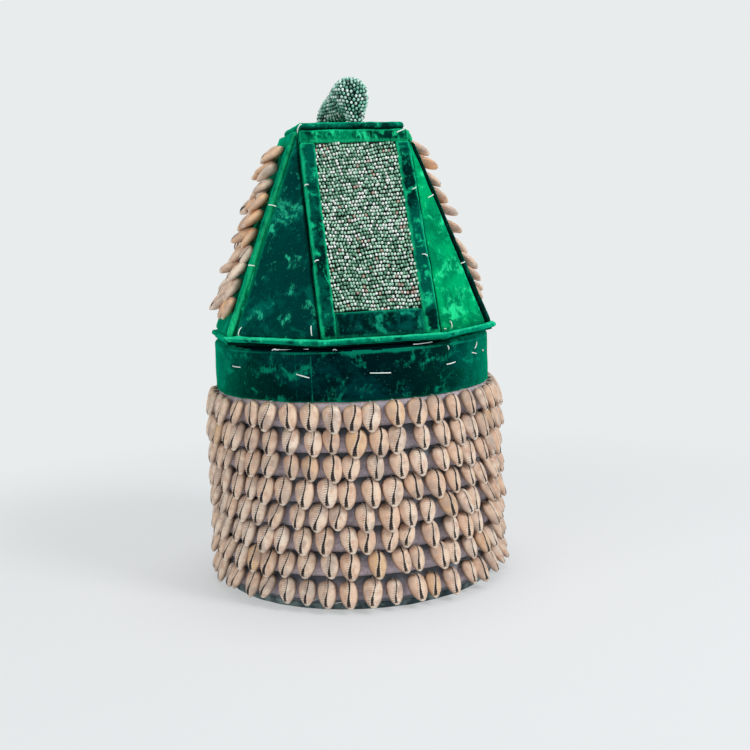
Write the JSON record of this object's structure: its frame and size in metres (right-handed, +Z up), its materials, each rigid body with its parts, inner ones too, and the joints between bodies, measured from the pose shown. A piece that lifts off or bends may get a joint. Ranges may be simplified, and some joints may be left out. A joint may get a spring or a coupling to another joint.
{
  "type": "beaded shrine container",
  "caption": "Round lidded container covered with rows of cowrie shells, with a tapering velvet and bead lid that lifts off by a stuffed loop handle.",
  "frame": {"origin": "centre of the bounding box's bottom face, on the surface that the container stands on", "axes": "+Z up along the container's axis; -Y towards the lid's front bead panel; +X to the right seen from the front"},
  "size_m": [0.257, 0.257, 0.4279],
  "materials": {
    "velvet": "crushed velvet pile",
    "board": "matt",
    "cowrie": "satin shell",
    "pale_beads": "opaque glossy seed beads",
    "teal_beads": "opaque glossy seed beads",
    "binding": "matt woven tape",
    "cotton": "matt cotton"
  },
  "bodies": {
    "container": {"base_board": "board", "base_binding": "binding", "container_wall": "board", "wall_lining": "cotton", "floor_lining": "cotton", "velvet_band": "velvet", "cowrie_row_1": "cowrie", "cowrie_row_2": "cowrie", "cowrie_row_3": "cowrie", "cowrie_row_4": "cowrie", "cowrie_row_5": "cowrie", "cowrie_row_6": "cowrie", "cowrie_row_7": "cowrie", "cowrie_row_8": "cowrie"},
    "lid": {"foot_piping": "velvet", "top_piping": "velvet", "lid_top_board": "velvet", "front_right_gusset": "velvet", "back_right_gusset": "velvet", "back_left_gusset": "velvet", "front_left_gusset": "velvet", "front_top_border": "velvet", "front_left_border": "velvet", "front_right_border": "velvet", "front_foot_border": "velvet", "back_top_border": "velvet", "back_left_border": "velvet", "back_right_border": "velvet", "back_foot_border": "velvet", "left_top_border": "velvet", "left_left_border": "velvet", "left_right_border": "velvet", "left_foot_border": "velvet", "right_top_border": "velvet", "right_left_border": "velvet", "right_right_border": "velvet", "right_foot_border": "velvet", "lid_rim_board": "board", "lid_collar": "board", "front_board": "board", "back_board": "board", "left_board": "board", "right_board": "board", "left_cowrie_panel": "cowrie", "right_cowrie_panel": "cowrie", "front_bead_panel": "pale_beads", "back_bead_panel": "pale_beads", "loop_handle": "teal_beads", "lid_lining": "cotton"}
  },
  "joints": [
    {"name": "lid_lift", "type": "slide", "parent": "container", "child": "lid", "axis": [0, 0, 1], "range_m": [0, 0.25]}
  ]
}
